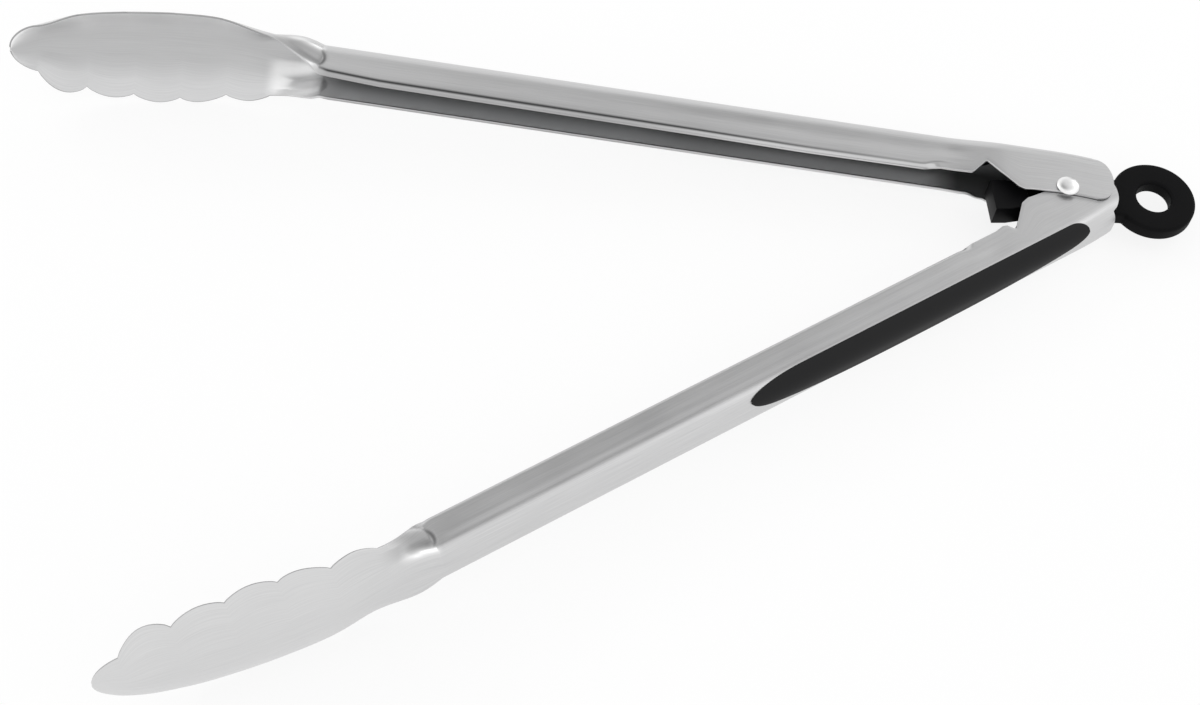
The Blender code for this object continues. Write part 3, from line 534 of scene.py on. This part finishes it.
# Painted shade: dark colour along the coined line beside each lip, at the step into each dimple and in
# it, and faintly on the head's rims.
colour = mixed(tree, crease_shade, colour, linear("2c2c2d"))
rough = ranged(tree, clouds, 0.30, 0.40)
for place, rougher in ((inside, 0.62), (crease_shade, 0.65)):
    rough = add_node(tree, "Mix", {}, {"Factor": place, 2: rough, 3: rougher}).outputs[0]
feed(tree, shader, {"Base Color": colour, "Roughness": rough, "Metallic": 1.0,
                    "Normal": dented(tree, grain, 0.25, 0.00002)})

outer_sides = ((plain_edge, plain_lip, outer_dish), (outer_vee, notched_lip, outer_dish))
inner_sides = ((inner_vee, notched_lip, inner_dish), (plain_edge, plain_lip, inner_dish))
for name, side, step, sides in (
        ("outer_arm", 1, ear_step, outer_sides), ("inner_arm", -1, 0.0, inner_sides)):
    arm = make_arm(name + "_sheet", side, step, name + "_body", sides)
    arm.data.materials.append(steel)
    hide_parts(name)

# The grips. Each arm's back carries a long oval pad of soft black rubber, thickest in the
# middle, moulded through a slot in the steel to a flat nylon core inside the channel.
pad_start, pad_end, start_taper, end_taper = 0.0035, 0.1600, 0.0070, 0.0250
pad_tip, long_reach, short_reach = 0.0061, 0.0109, 0.0036
pad_seat, pad_sink, pad_edge, pad_crown, edge_power = 0.0003, 0.0002, 0.0004, 0.0002, 10


def pad_loop(step):
    """The pad's closed sections, each a base on the steel and a crowned face over it.

    One side edge is half an ellipse from tip to tip, the other a quarter ellipse at each end
    with a straight run between. The face rises by the crown times one less the square of the
    place across, and its edge rolls down to the base as the root of one less a high power of
    that place.
    """
    turns = np.radians(np.linspace(4.0, 176.0, 90))[:, None]
    middle, half_length = (pad_start + pad_end) / 2.0, (pad_end - pad_start) / 2.0
    x = middle - half_length * np.cos(turns)
    into_start = (pad_start + start_taper - x) / start_taper
    into_end = (x - pad_end + end_taper) / end_taper
    tight = np.sqrt(1.0 - np.clip(np.maximum(into_start, into_end), 0.0, 1.0) ** 2)
    low = pad_tip - (pad_tip + short_reach) * np.sin(turns)
    high = pad_tip + (long_reach - pad_tip) * tight
    place = np.sin(np.radians(np.linspace(90.0, -90.0, 33)))[None]
    rise = pad_edge + pad_crown * (1.0 - place ** 2) * np.minimum(np.sin(turns), tight)
    rise = pad_seat + rise * (1.0 - np.abs(place) ** edge_power) ** 0.5
    base = np.full_like(rise, pad_seat - pad_sink)
    over = np.broadcast_to(place, rise.shape)
    over = np.concatenate([over, over[:, -2:0:-1]], axis=1)
    rise = np.concatenate([rise, base[:, -2:0:-1]], axis=1)
    along = (low + high) / 2.0 + (high - low) / 2.0 * over
    flat = half_width(x, step) - back_radius
    angle = np.maximum(np.abs(along) - flat, 0.0) / back_radius
    y = back_height(x) - back_radius + (back_radius + rise) * np.cos(angle)
    z = np.sign(along) * (np.minimum(np.abs(along), flat) + (back_radius + rise) * np.sin(angle))
    return np.stack([np.broadcast_to(x, y.shape), y, z], axis=-1)


rubber, tree, shader = new_material("soft_touch_rubber_satin_black")
where = add_node(tree, "TexCoord", {}, {}).outputs["Object"]
# Spark-eroded mould grain, 0.35 mm, and a faint bloom of skin oil in patches of 25 mm.
pits, bloom = noise(tree, where, 2900.0, 2.0), noise(tree, where, 40.0, 3.0)
colour = mixed(tree, bloom, linear("141415"), linear("1b1b1c"))
rough = ranged(tree, bloom, 0.52, 0.62)
feed(tree, shader, {"Base Color": colour, "Roughness": rough, "Specular IOR Level": 0.22,
                    "Normal": dented(tree, pits, 0.3, 0.00004)})

for name, side, step in (("outer", 1, ear_step), ("inner", -1, 0.0)):
    loop = pad_loop(step)
    rows, columns = loop.shape[:2]
    faces = faces_of_grid(rows, columns, True).tolist()
    faces += [list(range(columns)), list(range(rows * columns - 1, (rows - 1) * columns - 1, -1))]
    points = placed(loop.reshape(-1, 3), arm_axes(side))
    pad = make_piece(name + "_grip", points, faces, name + "_arm_body", sharp=60.0)
    pad.data.materials.append(rubber)
    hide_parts(name + "_grip_pad")

# Moulded nylon: the cores inside the arms and the bush on the rivet are plain mouldings
# with a fine matt grain, shown by the CAD's own solids.
nylon, tree, shader = new_material("moulded_nylon_black")
where = add_node(tree, "TexCoord", {}, {}).outputs["Object"]
# Mould grain of 0.5 mm, and slow changes of shade over 8 mm.
grain, shade = noise(tree, where, 2000.0, 2.0), noise(tree, where, 120.0, 2.0)
colour = mixed(tree, shade, linear("08080a"), linear("0e0e0f"))
rough = ranged(tree, shade, 0.42, 0.52)
feed(tree, shader, {"Base Color": colour, "Roughness": rough, "Specular IOR Level": 0.10,
                    "Normal": dented(tree, grain, 0.3, 0.00003)})
for name in ("outer_grip_core", "inner_grip_core", "spacer_bush"):
    for slot in frame["nodes"][name].material_slots:
        slot.material = nylon

# The rivet: a polished stainless pin through all four ears, with a low domed head at each
# end that is pressed over when the tongs are put together.
rivet_radius, head_radius, head_rise, rivet_gap = 0.0019, 0.0043, 0.0011, 0.0003
rivet_seat = half_channel + ear_step + rivet_gap
turn_steps = 72


def turned(name, profile, body):
    """A profile of radii and heights turned about the rivet's line, with flat ends."""
    angle = np.linspace(0.0, 2.0 * math.pi, turn_steps, endpoint=False)[:, None]
    radius, height = np.array(profile).T
    height = np.broadcast_to(height, (turn_steps, len(height)))
    points = np.stack([radius * np.cos(angle), radius * np.sin(angle), height], axis=-1)
    count = len(profile)
    faces = faces_of_grid(turn_steps + 1, count, False) % (turn_steps * count)
    ends = [[i * count for i in range(turn_steps)][::-1],
            [(i + 1) * count - 1 for i in range(turn_steps)]]
    return make_piece(name, placed(points.reshape(-1, 3), np.eye(3)), faces.tolist() + ends, body)


# A head's outline is a quarter ellipse, filled out by powers below one.
dome = [(head_radius * math.cos(a) ** 0.8, rivet_seat + head_rise * math.sin(a) ** 0.9)
        for a in np.linspace(0.0, math.radians(88.0), 18)]
half_profile = [(rivet_radius, rivet_seat)] + dome
polished, tree, shader = new_material("polished_stainless_steel")
where = add_node(tree, "TexCoord", {}, {}).outputs["Object"]
# Fine press marks of 0.4 mm.
marks = noise(tree, where, 2500.0, 2.0)
colour = mixed(tree, marks, linear("f0f0f0"), linear("fafafa"))
rough = ranged(tree, marks, 0.26, 0.34)
feed(tree, shader, {"Base Color": colour, "Roughness": rough, "Metallic": 1.0})
profile = [(r, -z) for r, z in reversed(half_profile)] + half_profile
rivet = turned("rivet", profile, "outer_arm_body")
rivet.data.materials.append(polished)
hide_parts("pivot_rivet")

# The spring: a torsion coil of 1.2 mm steel wire round the bush, whose two straight legs
# press the arms apart. It sits between the lock slide and the outer arm's ear.
wire_radius, wire_sides = 0.0006, 12
coil_radius, coil_low, coil_pitch = 0.0038, 0.0022, 0.00168
whole_turns, first_overrun, last_overrun = 2, 0.5, 0.2
leg_reach, leg_height = 0.0300, 0.01452


def wire(name, path, body):
    """A round wire along a path, with its frame taken from the rivet's line."""
    tangent = np.gradient(path, axis=0)
    tangent /= np.linalg.norm(tangent, axis=1, keepdims=True)
    side = np.cross(tangent, (0.0, 0.0, 1.0))
    side /= np.linalg.norm(side, axis=1, keepdims=True)
    over = np.cross(side, tangent)
    angle = np.linspace(0.0, 2.0 * math.pi, wire_sides, endpoint=False)[None, :, None]
    tube = path[:, None] + wire_radius * (side[:, None] * np.cos(angle) + over[:, None] * np.sin(angle))
    faces = faces_of_grid(len(path), wire_sides, True).tolist()
    last = wire_sides * len(path) - 1
    faces += [list(range(wire_sides)), list(range(last, last - wire_sides, -1))]
    return make_piece(name, placed(tube.reshape(-1, 3), np.eye(3)), faces, body, sharp=60.0)


inner_tip = np.array((leg_reach, leg_height)) @ arm_axes(-1)[:2, :2]
outer_tip = np.array((leg_reach, leg_height)) @ arm_axes(1)[:2, :2]


def leg_angle(x, y):
    """Turn of the coil's point from which a straight leg runs to a place beside it."""
    return math.atan2(y, x) - math.acos(coil_radius / math.hypot(x, y))


first = -leg_angle(inner_tip[0], -inner_tip[1])
last = leg_angle(*outer_tip)
sweep = (last - first) % (2.0 * math.pi) + 2.0 * whole_turns * math.pi
coil_high = coil_low + coil_pitch * sweep / (2.0 * math.pi)
# The wire runs on a little past where each leg leaves, so that the legs can swing.
angle = first + np.linspace(-first_overrun, sweep + last_overrun, 90)
height = coil_low + np.clip((angle - first) / sweep, 0.0, 1.0) * (coil_high - coil_low)
coil = np.stack([coil_radius * np.cos(angle), coil_radius * np.sin(angle), height], axis=1)
spring_wire, tree, shader = new_material("drawn_spring_wire")
where = add_node(tree, "TexCoord", {}, {}).outputs["Object"]
# Drawing marks of 0.3 mm.
marks = noise(tree, where, 3300.0, 2.0)
colour = mixed(tree, marks, linear("9a9a9b"), linear("b4b4b5"))
rough = ranged(tree, marks, 0.28, 0.40)
feed(tree, shader, {"Base Color": colour, "Roughness": rough, "Metallic": 1.0})
legs = {"outer": (last, outer_tip, coil_high), "inner": (first, inner_tip, coil_low)}
spring = wire("spring_coil", coil, "pivot_core")
spring.data.materials.append(spring_wire)
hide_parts("torsion_spring")
for name, (start, tip, height) in legs.items():
    foot = np.array((coil_radius * math.cos(start), coil_radius * math.sin(start), height))
    path = foot + (np.array((tip[0], tip[1], height)) - foot) * np.linspace(0.0, 1.0, 12)[:, None]
    leg = wire("spring_leg_" + name, path, name + "_arm_body")
    leg.data.materials.append(spring_wire)

# The lock. A moulded nylon slide runs between the ears, with a long slot over the bush, and
# the block on its front end wedges behind the arms' edges when the ring is pulled.
slide_half, slide_round, block_round = 0.0013, 0.0003, 0.0005
block_front, block_length, block_height = 0.0277, 0.0055, 0.0069
block_tail, block_tail_half, block_half_depth = 0.0140, 0.0056, 0.0046
ring_centre, root_reach = 0.0360, 0.0195
slot_half, lock_travel = 0.0031, 0.0060


def rounded_plate(name, outlines, half_depth, rounding, body):
    """A flat plate with rounded rims, from outlines in the slide's x and y.

    The first outline is the rim, moved in by the rounding, and any other is a hole.
    """
    curve = bpy.data.curves.new(name, "CURVE")
    curve.dimensions = "2D"
    curve.fill_mode = "BOTH"
    curve.extrude = half_depth - rounding
    curve.bevel_depth = rounding
    curve.bevel_resolution = 2
    curve.offset = -rounding
    for outline in outlines:
        spline = curve.splines.new("POLY")
        spline.points.add(len(outline) - 1)
        spline.points.foreach_set("co", np.array([(x, y, 0.0, 1.0) for x, y in outline]).ravel())
        spline.use_cyclic_u = True
    flat = bpy.data.objects.new(name, curve)
    mesh = bpy.data.meshes.new_from_object(flat)
    bpy.data.objects.remove(flat)
    points = np.zeros(3 * len(mesh.vertices))
    mesh.vertices.foreach_get("co", points)
    mesh.vertices.foreach_set("co", placed(points.reshape(-1, 3), lock_axes).ravel())
    return finish_piece(name, mesh, body)


def mirrored(half_outline):
    """An outline and its mirror image below the slide's middle line."""
    return half_outline + [(x, -y) for x, y in reversed(half_outline)]


def oval(first_x, last_x, half):
    """An outline with round ends round the straight between two places."""
    angle = np.linspace(-math.pi / 2.0, math.pi / 2.0, 13)
    right_end = [(last_x - half + half * math.cos(a), half * math.sin(a)) for a in angle]
    left_end = [(first_x + half - half * math.cos(a), -half * math.sin(a)) for a in angle]
    return right_end + left_end


plate_outline = mirrored([
    (-block_front + block_length, 0.0060), (-0.0150, 0.0052), (0.0070, 0.0052), (0.0100, 0.0038),
    (ring_centre - root_reach + 0.0068, 0.0038)])
block_outline = mirrored([
    (-block_front, block_height), (-block_front + block_length, block_height),
    (-block_tail, block_tail_half)])
slot_outline = oval(-lock_travel - slot_half, slot_half, slot_half)
slide_outlines = [plate_outline, slot_outline]
slide = rounded_plate("lock_slide_plate", slide_outlines, slide_half, slide_round, "lock")
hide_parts("lock_slide")
block = rounded_plate("lock_slide_block", [block_outline], block_half_depth, block_round, "lock")
for piece in (slide, block):
    piece.data.materials.clear()
    piece.data.materials.append(nylon)

# The pull ring: a thick ring of black rubber moulded on the slide's tail. Its hole is what
# the tongs hang by, and pulling or pushing it locks or frees the arms.
ring_radius, ring_hole, ring_half, ring_round = 0.0162, 0.0067, 0.0031, 0.0014
root_half, root_power = 0.0085, 10.0
ring_steps, corner_steps = 144, 9
angle = np.linspace(0.0, 2.0 * math.pi, ring_steps, endpoint=False)[:, None]
# The root that holds the slide is a superellipse, and its section has four round corners.
forward, sideways = np.maximum(-np.cos(angle), 1e-6), np.maximum(np.abs(np.sin(angle)), 1e-6)
root = (root_reach / forward) ** -root_power + (root_half / sideways) ** -root_power
root = root ** (-1.0 / root_power)
reach = np.where(np.cos(angle) < 0.0, np.maximum(ring_radius, root), ring_radius)
corner = np.repeat(np.arange(4), corner_steps)
bend = np.radians(corner * 90.0 + np.tile(np.linspace(0.0, 90.0, corner_steps), 4))
at_rim = np.isin(corner, (0, 3))
radius = np.where(at_rim, reach - ring_round, ring_hole + ring_round) + ring_round * np.cos(bend)
height = np.where(corner < 2, 1.0, -1.0) * (ring_half - ring_round) + ring_round * np.sin(bend)
height = np.broadcast_to(height, radius.shape)
points = np.stack([ring_centre + radius * np.cos(angle), radius * np.sin(angle), height], axis=-1)
faces = faces_of_grid(ring_steps + 1, len(bend), True) % (ring_steps * len(bend))
rubber_ring, tree, shader = new_material("moulded_rubber_matt_black")
where = add_node(tree, "TexCoord", {}, {}).outputs["Object"]
# A dull moulded skin: grain of 0.4 mm and faint flow marks of 8 mm.
pits, flow = noise(tree, where, 2500.0, 2.0), noise(tree, where, 125.0, 3.0)
colour = mixed(tree, flow, linear("080809"), linear("0e0e0f"))
rough = ranged(tree, flow, 0.55, 0.68)
feed(tree, shader, {"Base Color": colour, "Roughness": rough, "Specular IOR Level": 0.08,
                    "Normal": dented(tree, pits, 0.3, 0.00004)})
ring = make_piece("ring", placed(points.reshape(-1, 3), lock_axes), faces, "lock", sharp=60.0)
ring.data.materials.append(rubber_ring)
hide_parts("pull_ring")

# The studio: a plain white table under even white light from all round, with three soft dark
# patches that the steel reflects, and three soft lamps: two low ones behind the tongs and a
# weak high one.
floor_half, table_glow, lamp_distance = 4.0, 0.85, 1.5
floor = bpy.data.objects.new("floor", bpy.data.meshes.new("floor"))
floor.data.from_pydata([(-floor_half, -floor_half, 0), (floor_half, -floor_half, 0),
                        (floor_half, floor_half, 0), (-floor_half, floor_half, 0)], [], [(0, 1, 2, 3)])
bpy.context.scene.collection.objects.link(floor)
card, tree, shader = new_material("white_table_paint")
feed(tree, shader, {"Base Color": linear("fafafa"), "Roughness": 0.9})
# The photograph's ground is bare white: seen directly or in the metal, most of the table's
# light is its own, so that only a part of the tongs' shadow is left on it.
path = add_node(tree, "LightPath", {}, {})
seen = path.outputs["Is Camera Ray"]
for kind in ("Is Glossy Ray", "Is Transmission Ray"):
    seen = add_node(tree, "Math", {"operation": "MAXIMUM"}, {
        0: seen, 1: path.outputs[kind]}).outputs["Value"]
share = add_node(tree, "Math", {"operation": "MULTIPLY"}, {0: seen, 1: table_glow}).outputs["Value"]
glow = add_node(tree, "Emission", {}, {"Color": (1.0, 1.0, 1.0, 1.0), "Strength": 1.0})
both = add_node(tree, "MixShader", {}, {
    0: share, 1: shader.outputs["BSDF"], 2: glow.outputs["Emission"]})
tree.links.new(both.outputs["Shader"], tree.nodes["Material Output"].inputs["Surface"])
floor.data.materials.append(card)


def towards(azimuth, elevation):
    """Unit vector of a direction in degrees: azimuth is counted from +X towards +Y."""
    a, e = math.radians(azimuth), math.radians(elevation)
    return np.array((math.cos(a) * math.cos(e), math.sin(a) * math.cos(e), math.sin(e)))


world = bpy.data.worlds.new("studio")
world.use_nodes = True
bpy.context.scene.world = world
tree = world.node_tree
tree.nodes.clear()
direction = add_node(tree, "TexCoord", {}, {}).outputs["Generated"]
strength = 1.0
# Each dark patch: azimuth, elevation, the angles from there at which it ends and is full, and
# the strength that it leaves.
for azimuth, elevation, ends_at, full_at, least in (
        (67.0, 62.0, 15.0, 7.0, 0.08), (49.0, 45.0, 23.0, 7.0, 0.68), (45.0, 8.0, 15.0, 7.0, 0.35)):
    near = add_node(tree, "VectorMath", {"operation": "DOT_PRODUCT"}, {
        0: direction, 1: tuple(towards(azimuth, elevation))}).outputs["Value"]
    patch = add_node(tree, "MapRange", {"interpolation_type": "SMOOTHSTEP"}, {
        "Value": near, "From Min": math.cos(math.radians(ends_at)),
        "From Max": math.cos(math.radians(full_at)), "To Min": 1.0, "To Max": least}).outputs["Result"]
    strength = add_node(tree, "Math", {"operation": "MULTIPLY"}, {
        0: strength, 1: patch}).outputs["Value"]
sky = add_node(tree, "Background", {}, {"Color": (1.0, 1.0, 1.0, 1.0), "Strength": strength})
add_node(tree, "OutputWorld", {}, {"Surface": sky.outputs["Background"]})
# Each lamp: its name, azimuth, elevation, width, height and power in watts.
for name, azimuth, elevation, wide, high, energy in (
        ("left_softbox", 130.0, 34.0, 0.50, 0.35, 2.0), ("right_softbox", 30.0, 27.0, 0.40, 0.60, 1.2),
        ("top_softbox", 0.0, 52.0, 0.35, 0.35, 0.35)):
    lamp_data = bpy.data.lights.new(name, "AREA")
    lamp_data.shape = "RECTANGLE"
    lamp_data.size, lamp_data.size_y = wide, high
    lamp_data.energy = energy
    lamp = bpy.data.objects.new(name, lamp_data)
    back = towards(azimuth, elevation)
    side = np.cross((0.0, 0.0, 1.0), back)
    side /= np.linalg.norm(side)
    lamp_matrix = np.eye(4)
    lamp_matrix[:3, :3] = np.stack([side, np.cross(back, side), back], axis=1)
    lamp_matrix[:3, 3] = lamp_distance * back
    lamp.matrix_world = lamp_matrix.T.tolist()
    bpy.context.scene.collection.objects.link(lamp)
bpy.context.scene.view_settings.view_transform = "Standard"
